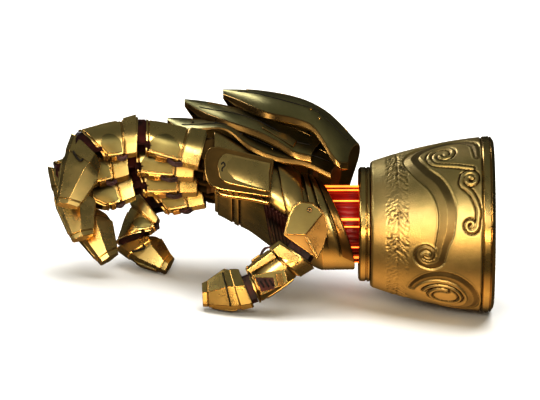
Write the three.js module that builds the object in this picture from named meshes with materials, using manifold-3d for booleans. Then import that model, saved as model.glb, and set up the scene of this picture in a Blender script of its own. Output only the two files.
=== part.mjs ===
// Articulated armoured gauntlet for a right hand, resting on a flat surface.
// Millimetres, +Z up. The arm side is a flared cuff round the arm axis; a ribbed core joins it to
// the hand, whose four fingers and thumb are hollow segments on hinges with inner barrels.
import * as THREE from 'three';
import { mergeVertices } from 'three/addons/utils/BufferGeometryUtils.js';
import Module from 'manifold-3d';

const wasm = await Module();
wasm.setup();

const { degToRad } = THREE.MathUtils;
const GAP = 0.4; // clearance between pieces that sit on each other

// ---- how the gauntlet rests: it lies on the cuff's rim, the thumb and the little finger
const REST_ROLL = degToRad(-16.97); // about the arm axis, little-finger side down
const REST_PITCH = degToRad(-5); // fingers down
const REST_SHIFT = new THREE.Vector3(-0.77, -3.2, 63.9); // puts the lowest point on z = 0, centred

// ---- arm side, in the arm frame: X runs along the arm to the elbow, the axis is y = z = 0
const TURNS = 32; // facets round the arm axis
const WALL_CUFF = 4.5;
const CUFF_START = 93;
const CUFF_END = 195;
const CUFF_RADIUS_HAND = 58;
const CUFF_RADIUS_ELBOW = 81;
const CUFF_BULGE = 3;
const CUFF_STEPS = 4; // rings along the cuff
const RIM_END = 207;
const RIM_CHAMFER = 4;
const RIM_CHAMFER_DEPTH = 3;
const RIM_STAND = 0.6; // how far the rim band stands out from the cuff
const RIM_BORE = 73;
const FRONT_RING_START = 82;
const FRONT_RING_RADIUS = 53;
const FRONT_RING_CHAMFER = 2;
const CORE_RADIUS = 33;
const CORE_RIB = 3;
const CORE_RIBS = 16;
const RIB_EDGES = [[-0.3, 0], [-0.22, 1], [0.22, 1], [0.3, 0]]; // share of the pitch, share of the rib
const CORE_BORE = 30.5;
const CORE_START = 47;
const CORE_END = 99;

// ---- hand, in the hand frame: X to the elbow, Y to the little finger, Z out of the back
const HAND_ROLL = degToRad(-22);
const WALL_HAND = 2.5;
const PALM_SIDES = 24;
// start (at the section's middle), slope of the section, middle height, half width, half height,
// tilt, and the power of the superellipse that is the section
const PALM_SECTIONS = [
  { x: -51.5, slope: 0, z: 53, width: 53.5, height: 26.6, tilt: degToRad(-2), power: 3.4 },
  { x: -25, slope: 0, z: 40, width: 53.5, height: 29, tilt: degToRad(-2), power: 3 },
  { x: 10, slope: -0.08, z: 19, width: 50, height: 39, tilt: 0, power: 2.6 },
  { x: 38, slope: -0.25, z: 2.5, width: 45, height: 44, tilt: 0, power: 2.2 },
  { x: 61, slope: -0.42, z: 0, width: 42.2, height: 42.2, tilt: 0, power: 2 },
];
const PALM_STEPS = 2; // rings from one section to the next

// ---- fingers: hinge axes lie across the finger, bends are from one segment to the next
const SEGMENT = { width: 12.5, top: 17.5, bottom: -17.5, chamfer: 5, wall: 2 };
const COLLAR_SHARE = 0.26; // of a segment's length
const BODY_SCALE = 0.95; // of the segment's section behind its collar
const TAIL_SCALE = 0.9; // and at its far end
const BARREL_WALL = 1.4;
const BARREL_CLEARANCE = 0.9;
const BARREL_TURNS = 12;
const BARREL_WINDOW = 0.72; // of the barrel's radius: the top of the window towards the child
const BARREL_SLEEVES = [-9, -12, -12]; // where each barrel's sleeve into its parent starts
const KNUCKLE_REACH = 20.4; // how far the first barrel reaches back into the palm
const SEGMENT_START = 8.4; // the first segment's flat end ahead of the knuckle hinge
const CLAW_SWELL = 1.12; // how much deeper a claw gets below
const CLAW_WIDEST = 0.4; // of its length
const CLAW_TIP = { width: 0.5, height: 0.56, chamfer: 3, lean: 0.1 };
const CHAMFER_PER_INSET = 0.58; // how much a chamfer shortens as its octagon moves inwards
const FAR = 60; // beyond any piece near a hinge
const HINGE_GAP = [8, 7.5, 6]; // between gold edges, at knuckle, middle and tip hinge
const FINGERS = [
  {
    name: 'index', at: [-54, -40, 53.5], splay: 4,
    bends: [-14.2, 27, 61], lengths: [67.3, 51.5, 63.2], scale: 1,
  },
  {
    name: 'middle', at: [-61, -13.3, 55.3], splay: 0,
    bends: [-4, 20, 86.8], lengths: [67.9, 61.4, 64.4], scale: 1,
  },
  {
    name: 'ring', at: [-59.5, 13.3, 52.5], splay: 0,
    bends: [2, 22, 94], lengths: [66, 58.6, 63.6], scale: 1,
  },
  {
    name: 'little', at: [-54, 40, 50.3], splay: -10,
    bends: [7.4, 59.4, 76], lengths: [59.7, 42.6, 44.4], scale: 0.88,
  },
];

// ---- thumb, in the arm frame: its three hinge axes are parallel to Y
const THUMB = {
  at: [36.3, -60, 6.5], pitch: 73, bends: [0, 36, 28.5], lengths: [32, 57, 44],
  size: { width: 14, top: 19, bottom: -19, chamfer: 6, wall: 3 }, gaps: [0, 6, 6],
};
const THUMB_HEAD_RADIUS = 18;
const THUMB_BOSS = { radius: 12, bore: 10, start: -58, clearance: 0.6 };
const THUMB_TURNS = 20;
const THUMB_SHOULDER = 0.4; // of the first segment's length, where it starts to narrow
const THUMB_SLEEVE = -8; // where each thumb barrel's sleeve into its parent starts

// ---- back plates, in the hand frame: rows of x, half width, rim height and crest height, and how
// round the section is, from 1 (a gable) to 2 (an ellipse)
const PLATE_THICKNESS = 1.8;
const PLATE_COLUMNS = 6; // from crest to rim
const PLATES = {
  back_plate_low: {
    round: 1.3,
    rows: [
      [-96, 1.5, 104, 107], [-84, 22, 86.7, 107], [-66, 37, 80.5, 105], [-40, 49, 75, 99],
      [-20, 54.6, 57, 91], [2, 55, 46, 86], [37, 53, 40, 80], [68, 48, 31, 65],
    ],
  },
  back_plate_mid: {
    round: 1.4,
    rows: [
      [-80, 1.5, 122, 126], [-66, 14, 108, 124.5], [-41, 37, 88, 119], [-10, 50, 71, 109],
      [8, 53.5, 60, 102], [20, 55, 51.5, 98], [50, 55, 45, 83],
    ],
  },
  back_plate_top: {
    round: 1.9,
    rows: [
      [-44, 1.5, 130, 136], [-30, 18, 117, 134.5], [-5, 42, 95, 130], [26, 52, 83, 122],
      [41, 57, 73, 115], [56, 58.5, 50, 106], [72, 58, 38, 90], [84, 52, 40, 76],
    ],
  },
};
const PLATE_REAR_SLOPE = 12; // how far the rim ends ahead of the crest at the rear
const POSTS = [[-8, 0], [40, 0]]; // x, y of the posts that carry the plates
const POST_RADIUS = 5;
const POST_START = 20; // inside the palm, whose solid is then cut away

const MATERIALS = {
  gold: new THREE.MeshStandardMaterial({ color: 0xb8892e, metalness: 1, roughness: 0.28 }),
  dark_gold: new THREE.MeshStandardMaterial({ color: 0x6e5a2a, metalness: 1, roughness: 0.4 }),
  inner_red: new THREE.MeshStandardMaterial({ color: 0x4a1410, metalness: 0.6, roughness: 0.45 }),
  glow: new THREE.MeshStandardMaterial({ color: 0xd02008, emissive: 0xff5a10, roughness: 0.5 }),
};

// ================================================================ shapes

// A closed manifold-3d solid from a three.js geometry.
function solidOf(geometry) {
  const bare = new THREE.BufferGeometry();
  bare.setAttribute('position', geometry.getAttribute('position').clone());
  if (geometry.index) bare.setIndex(geometry.index.clone());
  const merged = mergeVertices(bare, 1e-4);
  const corners = merged.index.array;
  const kept = [];
  for (let i = 0; i < corners.length; i += 3) {
    const [a, b, c] = [corners[i], corners[i + 1], corners[i + 2]];
    if (a !== b && b !== c && c !== a) kept.push(a, b, c);
  }
  const solid = new wasm.Manifold(new wasm.Mesh({
    numProp: 3,
    vertProperties: Float32Array.from(merged.getAttribute('position').array),
    triVerts: Uint32Array.from(kept),
  }));
  if (solid.volume() >= 0) return solid;
  const flipped = [];
  for (let i = 0; i < kept.length; i += 3) flipped.push(kept[i], kept[i + 2], kept[i + 1]);
  return new wasm.Manifold(new wasm.Mesh({
    numProp: 3,
    vertProperties: Float32Array.from(merged.getAttribute('position').array),
    triVerts: Uint32Array.from(flipped),
  }));
}

// The three.js geometry of a manifold-3d solid.
function geometryOf(solid) {
  const mesh = solid.getMesh();
  const geometry = new THREE.BufferGeometry();
  geometry.setAttribute('position', new THREE.BufferAttribute(mesh.vertProperties, 3));
  geometry.setIndex(new THREE.BufferAttribute(mesh.triVerts, 1));
  geometry.computeVertexNormals();
  return geometry;
}

function meshOf(name, solid, material) {
  const mesh = new THREE.Mesh(geometryOf(solid), MATERIALS[material]);
  mesh.name = name;
  return mesh;
}

// A solid through closed rings of points, each ring with as many points as the next.
function loft(rings) {
  const count = rings[0].length;
  const points = rings.flat();
  const faces = [];
  for (let r = 0; r + 1 < rings.length; r++) {
    for (let k = 0; k < count; k++) {
      const [a, b] = [r * count + k, r * count + ((k + 1) % count)];
      faces.push(a, b, b + count, a, b + count, a + count);
    }
  }
  const last = (rings.length - 1) * count;
  for (let k = 1; k + 1 < count; k++) {
    faces.push(0, k + 1, k);
    faces.push(last, last + k, last + k + 1);
  }
  const geometry = new THREE.BufferGeometry().setFromPoints(points);
  geometry.setIndex(faces);
  return solidOf(geometry);
}

// A solid between an outer and an inner grid of points, joined along the grids' four edges.
function sheet(outer, inner) {
  const [rows, columns] = [outer.length, outer[0].length];
  const half = rows * columns;
  const points = [...outer.flat(), ...inner.flat()];
  const faces = [];
  const quad = (a, b, c, d) => faces.push(a, b, c, a, c, d);
  for (let r = 0; r + 1 < rows; r++) {
    for (let k = 0; k + 1 < columns; k++) {
      const a = r * columns + k;
      quad(a, a + 1, a + columns + 1, a + columns);
      quad(half + a, half + a + columns, half + a + columns + 1, half + a + 1);
    }
    const [first, last] = [r * columns, (r + 1) * columns - 1];
    quad(first, first + columns, half + first + columns, half + first);
    quad(last + columns, last, half + last, half + last + columns);
  }
  for (let k = 0; k + 1 < columns; k++) {
    const end = (rows - 1) * columns + k;
    quad(k + 1, k, half + k, half + k + 1);
    quad(end, end + 1, half + end + 1, half + end);
  }
  const geometry = new THREE.BufferGeometry().setFromPoints(points);
  geometry.setIndex(faces);
  return solidOf(geometry);
}

// A ring turned round the X axis from a closed outline of [x, radius] pairs.
function turned(outline, turns = TURNS) {
  const closed = [...outline, outline[0]];
  const profile = closed.map(([x, radius]) => new THREE.Vector2(radius, x));
  return solidOf(new THREE.LatheGeometry(profile, turns).rotateZ(-Math.PI / 2));
}

// A solid turned round the Y axis from [y, radius] pairs; its ends are closed on the axis.
function turnedAcross(outline, turns) {
  const [first, last] = [outline[0], outline[outline.length - 1]];
  const closed = [[first[0], 0], ...outline, [last[0], 0]];
  const profile = closed.map(([y, radius]) => new THREE.Vector2(radius, y));
  return solidOf(new THREE.LatheGeometry(profile, turns));
}

function rod(radius, from, to, turns = 12) {
  return turnedAcross([[from, radius], [to, radius]], turns);
}

function block(x, y, z) {
  const size = [x, y, z].map(([low, high]) => high - low);
  const middle = [x, y, z].map(([low, high]) => (low + high) / 2);
  return solidOf(new THREE.BoxGeometry(...size).translate(...middle));
}

// The biggest body of a solid: what a cut leaves loose is dropped.
function largest(solid) {
  return solid.decompose().reduce((a, b) => (a.volume() > b.volume() ? a : b));
}

function turnedAboutY(solid, degrees) {
  return solid.rotate([0, degrees, 0]);
}

// ================================================================ arm side

function cuffRadius(share) {
  const straight = CUFF_RADIUS_HAND + share * (CUFF_RADIUS_ELBOW - CUFF_RADIUS_HAND);
  return straight + CUFF_BULGE * 4 * share * (1 - share);
}

function cuffShell() {
  const outer = [];
  const inner = [];
  for (let i = 0; i <= CUFF_STEPS; i++) {
    const share = i / CUFF_STEPS;
    const x = CUFF_START + share * (CUFF_END - CUFF_START);
    outer.push([x, cuffRadius(share)]);
    inner.unshift([Math.max(x, CUFF_START + WALL_CUFF), cuffRadius(share) - WALL_CUFF]);
  }
  const bore = CORE_RADIUS + CORE_RIB + 2 * GAP;
  const flange = [[CUFF_START + WALL_CUFF, bore], [CUFF_START, bore]];
  return turned([...outer, ...inner, ...flange]);
}

function cuffRim() {
  const radius = CUFF_RADIUS_ELBOW + RIM_STAND;
  return turned([
    [CUFF_END + GAP, RIM_BORE], [CUFF_END + GAP, radius], [RIM_END - RIM_CHAMFER_DEPTH, radius],
    [RIM_END, radius - RIM_CHAMFER], [RIM_END, RIM_BORE],
  ]);
}

function cuffFrontRing() {
  const bore = CORE_RADIUS + CORE_RIB + 2 * GAP;
  const end = CUFF_START - GAP;
  return turned([
    [FRONT_RING_START, bore], [FRONT_RING_START, FRONT_RING_RADIUS - FRONT_RING_CHAMFER],
    [FRONT_RING_START + FRONT_RING_CHAMFER, FRONT_RING_RADIUS], [end, FRONT_RING_RADIUS], [end, bore],
  ]);
}

// A tube with ribs along the arm.
function wristCore() {
  const outline = new THREE.Shape();
  const pitch = (2 * Math.PI) / CORE_RIBS;
  for (let i = 0; i < CORE_RIBS; i++) {
    for (const [share, rise] of RIB_EDGES) {
      const angle = (i + share) * pitch;
      const radius = CORE_RADIUS + rise * CORE_RIB;
      const [y, z] = [radius * Math.cos(angle), radius * Math.sin(angle)];
      if (outline.curves.length === 0 && outline.currentPoint.lengthSq() === 0) outline.moveTo(y, z);
      else outline.lineTo(y, z);
    }
  }
  outline.closePath();
  const bore = new THREE.Path();
  bore.absarc(0, 0, CORE_BORE, 0, 2 * Math.PI, true);
  outline.holes.push(bore);
  const tube = new THREE.ExtrudeGeometry(outline, {
    depth: CORE_END - CORE_START, bevelEnabled: false, curveSegments: TURNS / 2,
  });
  return solidOf(tube.rotateY(Math.PI / 2).translate(CORE_START, 0, 0));
}

// ================================================================ hand

function palmSection(position) {
  const low = Math.min(Math.floor(position), PALM_SECTIONS.length - 2);
  const share = position - low;
  const section = {};
  for (const key of Object.keys(PALM_SECTIONS[low])) {
    const [from, to] = [PALM_SECTIONS[low][key], PALM_SECTIONS[low + 1][key]];
    section[key] = THREE.MathUtils.lerp(from, to, share);
  }
  return section;
}

// One ring of the palm, grown outwards by an offset. Column 0 faces the little finger.
function palmRing(position, offset, shiftX = 0) {
  const section = palmSection(position);
  const ring = [];
  for (let k = 0; k < PALM_SIDES; k++) {
    const angle = (2 * Math.PI * k) / PALM_SIDES;
    const bend = (value) => Math.sign(value) * Math.abs(value) ** (2 / section.power);
    const y = (section.width + offset) * bend(Math.cos(angle));
    const z = (section.height + offset) * bend(Math.sin(angle));
    const [c, s] = [Math.cos(section.tilt), Math.sin(section.tilt)];
    const height = y * s + z * c;
    ring.push(new THREE.Vector3(
      section.x + section.slope * height + shiftX, y * c - z * s, section.z + height,
    ));
  }
  return ring;
}

function palmSolid(offset, overrun = 0) {
  const rings = [];
  const last = PALM_SECTIONS.length - 1;
  for (let i = 0; i <= last * PALM_STEPS; i++) {
    rings.push(palmRing(i / PALM_STEPS, offset));
  }
  if (overrun > 0) {
    rings.unshift(palmRing(0, offset, -overrun));
    rings.push(palmRing(last, offset, overrun));
  }
  return loft(rings);
}

// A plate lying on the palm between two rings and two columns.
function palmPatch(from, to, firstColumn, lastColumn, inner, outer) {
  const grid = (offset) => {
    const rows = [];
    for (let step = from * PALM_STEPS; step <= to * PALM_STEPS; step++) {
      const ring = palmRing(step / PALM_STEPS, offset);
      const row = [];
      for (let k = firstColumn; k <= lastColumn; k++) row.push(ring[(k + PALM_SIDES) % PALM_SIDES]);
      rows.push(row);
    }
    return rows;
  };
  return sheet(grid(outer), grid(inner));
}

// The round-nosed panel on the side of the palm, below the index knuckle.
const CHEEK = {
  inner: -55, outer: -60, // across the hand
  rearTop: [4, 41], noseTop: [-48, 54], topCurve: [-60, 48], nose: [-60, 31],
  noseCurve: [-58, 14], noseBottom: [-44, 10], rearBottom: [-1, 3],
};
function indexCheek() {
  const outline = new THREE.Shape();
  outline.moveTo(...CHEEK.rearTop);
  outline.lineTo(...CHEEK.noseTop);
  outline.quadraticCurveTo(...CHEEK.topCurve, ...CHEEK.nose);
  outline.quadraticCurveTo(...CHEEK.noseCurve, ...CHEEK.noseBottom);
  outline.lineTo(...CHEEK.rearBottom);
  outline.closePath();
  const slab = new THREE.ExtrudeGeometry(outline, {
    depth: CHEEK.inner - CHEEK.outer, bevelEnabled: false, curveSegments: 5,
  });
  return solidOf(slab.rotateX(Math.PI / 2).translate(0, CHEEK.inner, 0));
}

// One domed plate from its rows, pointed towards the fingers.
function backPlate({ rows, round }) {
  const grid = (drop) => rows.map(([x, width, rim, crest], r) => {
    const row = [];
    const rear = r === rows.length - 1 ? PLATE_REAR_SLOPE : 0;
    for (let k = -PLATE_COLUMNS; k <= PLATE_COLUMNS; k++) {
      const t = Math.sin((k / PLATE_COLUMNS) * (Math.PI / 2));
      const lift = (1 - Math.abs(t) ** round) ** (1 / round);
      const inset = Math.min(drop, width / 2);
      row.push(new THREE.Vector3(
        x - rear * Math.abs(t) ** 2, (width - inset) * t, rim + (crest - rim - drop) * lift,
      ));
    }
    return row;
  });
  return sheet(grid(0), grid(PLATE_THICKNESS));
}

function crestAt(rows, x) {
  const next = rows.findIndex((row) => row[0] >= x);
  const [before, after] = [rows[next - 1], rows[next]];
  return THREE.MathUtils.mapLinear(x, before[0], after[0], before[3], after[3]);
}

// ================================================================ segments and hinges

function octagon({ width, top, bottom, chamfer }, inset = 0) {
  const [w, t, b] = [width - inset, top - inset, bottom + inset];
  const c = chamfer - inset * CHAMFER_PER_INSET;
  return [
    [w, t - c], [w - c, t], [-w + c, t], [-w, t - c],
    [-w, b + c], [-w + c, b], [w - c, b], [w, b + c],
  ];
}

// A section placed across a segment, its plane leaning by slope.
function across(section, x, slope = 0) {
  return section.map(([y, z]) => new THREE.Vector3(x + z * slope, y, z));
}

function scaled(size, factor, heightFactor = factor) {
  return {
    width: size.width * factor, top: size.top * heightFactor,
    bottom: size.bottom * heightFactor, chamfer: size.chamfer * factor, wall: size.wall,
  };
}

// The planes that end a segment halve the bend at each of its hinges, gap / 2 off the axis.
function mitre(bend, gap) {
  const half = degToRad(bend) / 2;
  return { offset: gap / 2 / Math.cos(half), slope: Math.tan(half) };
}

// A hollow segment from its own hinge (x = 0) to the next (x = length).
function segmentShell({ length, size, bendIn, bendOut, gapIn, gapOut, flatStart }) {
  const start = flatStart ? { offset: flatStart, slope: 0 } : mitre(bendIn, gapIn);
  const end = mitre(bendOut, gapOut);
  const collar = start.offset + length * COLLAR_SHARE;
  const body = scaled(size, BODY_SCALE);
  const tail = scaled(size, TAIL_SCALE);
  const outer = [
    across(octagon(size), start.offset, -start.slope),
    across(octagon(size), Math.max(collar, start.offset), -start.slope * 0.5),
    across(octagon(body), collar + 1.5, -start.slope * 0.5),
    across(octagon(tail), length - end.offset, end.slope),
  ];
  const inner = [
    across(octagon(size, size.wall), start.offset - 2, -start.slope),
    across(octagon(size, size.wall), start.offset + 3, -start.slope),
    across(octagon(tail, size.wall), length - end.offset + 2, end.slope),
  ];
  return loft(outer).subtract(loft(inner));
}

// A hollow, tapered end segment with a cut-off tip.
function clawShell({ length, size, bendIn, gapIn }) {
  const start = mitre(bendIn, gapIn);
  const swell = { ...size, bottom: size.bottom * CLAW_SWELL };
  const tip = { ...scaled(size, CLAW_TIP.width, CLAW_TIP.height), chamfer: CLAW_TIP.chamfer };
  const middle = start.offset + (length - start.offset) * CLAW_WIDEST;
  const outer = [
    across(octagon(size), start.offset, -start.slope),
    across(octagon(swell), middle, -start.slope * 0.3),
    across(octagon(tip), length, CLAW_TIP.lean),
  ];
  const inner = [
    across(octagon(size, size.wall), start.offset - 2, -start.slope),
    across(octagon(swell, size.wall + 0.6), middle, -start.slope * 0.3),
    across(octagon(tip, size.wall + 0.4), length - 4, CLAW_TIP.lean),
  ];
  return loft(outer).subtract(loft(inner));
}

// The inner barrel round a hinge axis, with a sleeve back into the parent's open end. A finger
// passes through it: windows face the parent and the child, and the barrel's sides and back stay.
function knuckleBarrel({ size, bend, gap, sleeveSize, sleeveStart }) {
  const inside = octagon(size, size.wall + BARREL_CLEARANCE);
  const [halfWidth, shoulder] = inside[0];
  const [flat, radius] = inside[1];
  const round = (cut) => turnedAcross([
    [-halfWidth + cut, shoulder - cut * 0.5], [-flat + cut * 0.5, radius - cut],
    [flat - cut * 0.5, radius - cut], [halfWidth - cut, shoulder - cut * 0.5],
  ], BARREL_TURNS);
  const behind = turnedAboutY(block([-FAR, -gap / 2 + GAP], [-FAR, FAR], [-FAR, FAR]), bend / 2);
  const sleeve = (cut, from) => loft([
    across(octagon(sleeveSize, cut), from), across(octagon(sleeveSize, cut), 0),
  ]);
  const fit = size.wall + GAP;
  const side = halfWidth - BARREL_WALL;
  const channel = block([0, FAR], [-side, side], [-FAR, radius * BARREL_WINDOW]);
  return largest(round(0).subtract(behind).add(sleeve(fit, sleeveStart))
    .subtract(round(BARREL_WALL + 0.4))
    .subtract(sleeve(fit + BARREL_WALL, sleeveStart - 5))
    .subtract(turnedAboutY(channel, bend)));
}

// ================================================================ assembly

const stand = new THREE.Group();
const arm = new THREE.Group();
arm.rotation.set(REST_ROLL, REST_PITCH, 0, 'YXZ');
arm.position.copy(REST_SHIFT);
stand.add(arm);

arm.add(meshOf('cuff_shell', cuffShell(), 'gold'));
arm.add(meshOf('cuff_rim', cuffRim(), 'gold'));
arm.add(meshOf('cuff_front_ring', cuffFrontRing(), 'gold'));
arm.add(meshOf('wrist_core', wristCore(), 'glow'));

const hand = new THREE.Group();
hand.rotation.x = HAND_ROLL;
arm.add(hand);

const palmOuter = palmSolid(0);
hand.add(meshOf('hand_shell', palmOuter.subtract(palmSolid(-WALL_HAND, 4)), 'gold'));
hand.add(meshOf('palm_plate', palmPatch(0.5, 1.5, 14, 17, GAP, 3), 'gold'));
hand.add(meshOf('side_plate', palmPatch(2, 3, 9, 12, GAP, 3), 'gold'));
hand.add(meshOf('heel_band', palmPatch(3.5, 4, 9, 17, GAP, 2.4), 'gold'));
hand.add(meshOf('index_cheek', indexCheek(), 'gold'));

// the plates, and the posts that carry them
const topRows = PLATES.back_plate_top.rows;
for (const [name, shape] of Object.entries(PLATES)) {
  let plate = backPlate(shape);
  if (shape.rows !== topRows) {
    for (const [x, y] of POSTS) {
      const hole = rod(POST_RADIUS + GAP, 0, 3 * FAR).rotate([90, 0, 0]).translate([x, y, 0]);
      plate = plate.subtract(hole);
    }
  }
  hand.add(meshOf(name, plate, 'dark_gold'));
}
POSTS.forEach(([x, y], i) => {
  const crests = [x - POST_RADIUS, x + POST_RADIUS].map((end) => crestAt(topRows, end));
  const top = Math.min(...crests) - PLATE_THICKNESS - GAP;
  const post = rod(POST_RADIUS, POST_START, top).rotate([90, 0, 0]).translate([x, y, 0]);
  hand.add(meshOf(`plate_post_${i + 1}`, post.subtract(palmSolid(GAP)), 'dark_gold'));
});

// a chain of segments on hinges, each in its parent's group, with the knuckle barrels
const SEGMENT_NAMES = ['proximal', 'middle', 'claw'];
function addFinger(parent, { name, at, splay, bends, lengths, scale }) {
  const size = scaled(SEGMENT, scale);
  const tail = scaled(size, TAIL_SCALE);
  let carrier = new THREE.Group();
  carrier.position.set(...at);
  carrier.rotation.z = Math.PI + degToRad(splay);
  parent.add(carrier);
  lengths.forEach((length, i) => {
    const barrel = knuckleBarrel({
      size, bend: bends[i], gap: i ? HINGE_GAP[i] : 2 * KNUCKLE_REACH,
      sleeveSize: tail, sleeveStart: BARREL_SLEEVES[i],
    });
    carrier.add(meshOf(`${name}_knuckle_${i + 1}`, barrel, 'inner_red'));
    const hinge = new THREE.Group();
    hinge.name = `${name}_hinge_${i + 1}`;
    hinge.rotation.y = degToRad(bends[i]);
    carrier.add(hinge);
    const shape = i < 2
      ? segmentShell({
        length, size, bendIn: bends[i], bendOut: bends[i + 1], gapIn: HINGE_GAP[i],
        gapOut: HINGE_GAP[i + 1], flatStart: i ? 0 : SEGMENT_START,
      })
      : clawShell({ length, size, bendIn: bends[i], gapIn: HINGE_GAP[i] });
    hinge.add(meshOf(`${name}_${SEGMENT_NAMES[i]}`, shape, 'gold'));
    carrier = new THREE.Group();
    carrier.position.x = length;
    hinge.add(carrier);
  });
}
for (const finger of FINGERS) addFinger(hand, finger);

// the thumb: its root turns on a hollow boss that stands out of the palm
const thumbRoot = new THREE.Group();
thumbRoot.position.set(...THUMB.at);
thumbRoot.name = 'thumb_hinge_1';
thumbRoot.rotation.y = Math.PI - degToRad(THUMB.pitch);
arm.add(thumbRoot);

function thumbBase() {
  const { size, lengths, bends, gaps } = THUMB;
  const end = mitre(bends[1], gaps[1]);
  const tail = scaled(size, TAIL_SCALE);
  const body = (inset, past) => loft([
    across(octagon(size, inset), 0), across(octagon(size, inset), lengths[0] * THUMB_SHOULDER),
    across(octagon(tail, inset), lengths[0] - end.offset + past, end.slope),
  ]);
  const head = (inset) => {
    const half = size.width - inset;
    return rod(THUMB_HEAD_RADIUS - inset, -half, half, THUMB_TURNS);
  };
  const bossHole = rod(THUMB_BOSS.radius + THUMB_BOSS.clearance, 0, FAR, THUMB_TURNS);
  return body(0, 0).add(head(0)).subtract(body(size.wall, 2)).subtract(head(size.wall))
    .subtract(bossHole);
}
thumbRoot.add(meshOf('thumb_base', thumbBase(), 'gold'));

const palmInArm = palmSolid(GAP).rotate([THREE.MathUtils.radToDeg(HAND_ROLL), 0, 0]);
const boss = rod(THUMB_BOSS.radius, THUMB_BOSS.start, -20, THUMB_TURNS)
  .subtract(rod(THUMB_BOSS.bore, -FAR - 3, 0, THUMB_TURNS))
  .translate([THUMB.at[0], 0, THUMB.at[2]]);
arm.add(meshOf('thumb_mount', boss.subtract(palmInArm), 'inner_red'));

let carrier = thumbRoot;
for (const i of [1, 2]) {
  const next = new THREE.Group();
  next.position.x = THUMB.lengths[i - 1];
  carrier.add(next);
  next.add(meshOf(`thumb_knuckle_${i + 1}`, knuckleBarrel({
    size: THUMB.size, bend: THUMB.bends[i], gap: THUMB.gaps[i],
    sleeveSize: scaled(THUMB.size, TAIL_SCALE), sleeveStart: THUMB_SLEEVE,
  }), 'inner_red'));
  const hinge = new THREE.Group();
  hinge.name = `thumb_hinge_${i + 1}`;
  hinge.rotation.y = degToRad(THUMB.bends[i]);
  next.add(hinge);
  const common = {
    length: THUMB.lengths[i], size: THUMB.size, bendIn: THUMB.bends[i], gapIn: THUMB.gaps[i],
  };
  const shape = i === 1
    ? segmentShell({ ...common, bendOut: THUMB.bends[2], gapOut: THUMB.gaps[2] })
    : clawShell(common);
  hinge.add(meshOf(`thumb_${SEGMENT_NAMES[i]}`, shape, 'gold'));
  carrier = hinge;
}

export default stand;
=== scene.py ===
import math

import bmesh
import bpy
import numpy as np
from mathutils import Matrix, Vector


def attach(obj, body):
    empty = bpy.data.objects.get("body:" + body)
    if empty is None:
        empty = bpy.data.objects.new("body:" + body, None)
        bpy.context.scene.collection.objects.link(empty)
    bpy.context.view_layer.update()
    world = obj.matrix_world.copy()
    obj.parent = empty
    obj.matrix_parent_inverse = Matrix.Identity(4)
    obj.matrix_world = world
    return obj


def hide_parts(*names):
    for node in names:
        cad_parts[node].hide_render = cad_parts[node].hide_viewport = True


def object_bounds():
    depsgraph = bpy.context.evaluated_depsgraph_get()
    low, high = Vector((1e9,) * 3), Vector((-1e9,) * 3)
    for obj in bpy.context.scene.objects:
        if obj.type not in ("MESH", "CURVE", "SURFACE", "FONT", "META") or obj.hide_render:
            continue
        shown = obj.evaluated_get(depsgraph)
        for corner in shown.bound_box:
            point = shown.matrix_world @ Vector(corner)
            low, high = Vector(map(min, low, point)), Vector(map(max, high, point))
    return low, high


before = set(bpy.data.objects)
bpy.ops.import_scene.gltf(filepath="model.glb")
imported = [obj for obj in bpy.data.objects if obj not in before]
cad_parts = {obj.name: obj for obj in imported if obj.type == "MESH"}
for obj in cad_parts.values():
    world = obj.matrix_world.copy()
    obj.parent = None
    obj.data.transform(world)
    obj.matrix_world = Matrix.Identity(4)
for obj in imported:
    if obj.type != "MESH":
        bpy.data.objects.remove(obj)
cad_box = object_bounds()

# An articulated right-hand gauntlet. Shapes are made in millimetres in the frame of the arm, the
# hand or one hinge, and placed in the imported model's frame in metres.
MM = 0.001


def turn(axis, degrees):
    """A rotation about a named axis."""
    return Matrix.Rotation(math.radians(degrees), 4, axis)


def move(x, y, z):
    """A shift."""
    return Matrix.Translation((x, y, z))


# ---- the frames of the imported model: arm (X to the elbow), hand (Y to the little finger)
ARM = move(-0.77, -3.2, 63.9) @ turn("Y", -5) @ turn("X", -16.97)
HAND = ARM @ turn("X", -22)

# ---- arm side
CUFF_START, CUFF_END = 93, 195
CUFF_RADIUS_HAND, CUFF_RADIUS_ELBOW, CUFF_BULGE = 58, 81, 3
CUFF_WALL = 4.5
RIM_END, RIM_BORE, RIM_RADIUS = 207, 73, 81.6
RING_START, RING_RADIUS = 82, 53
CORE_RADIUS, CORE_BORE, CORE_START, CORE_END = 34, 30.5, 47, 99
FLANGE_BORE = 36.8

# ---- palm: x, slope, middle height, half width, half height, tilt, power of the superellipse
PALM = np.array([
    [-51.5, 0, 53, 53.5, 26.6, -2, 3.4],
    [-25, 0, 40, 53.5, 29, -2, 3],
    [10, -0.08, 19, 50, 39, 0, 2.6],
    [38, -0.25, 2.5, 45, 44, 0, 2.2],
    [61, -0.42, 0, 42.2, 42.2, 0, 2],
])
PALM_COLUMNS = 24  # the unit in which places round the palm are given
HAND_WALL = 2.5

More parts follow.
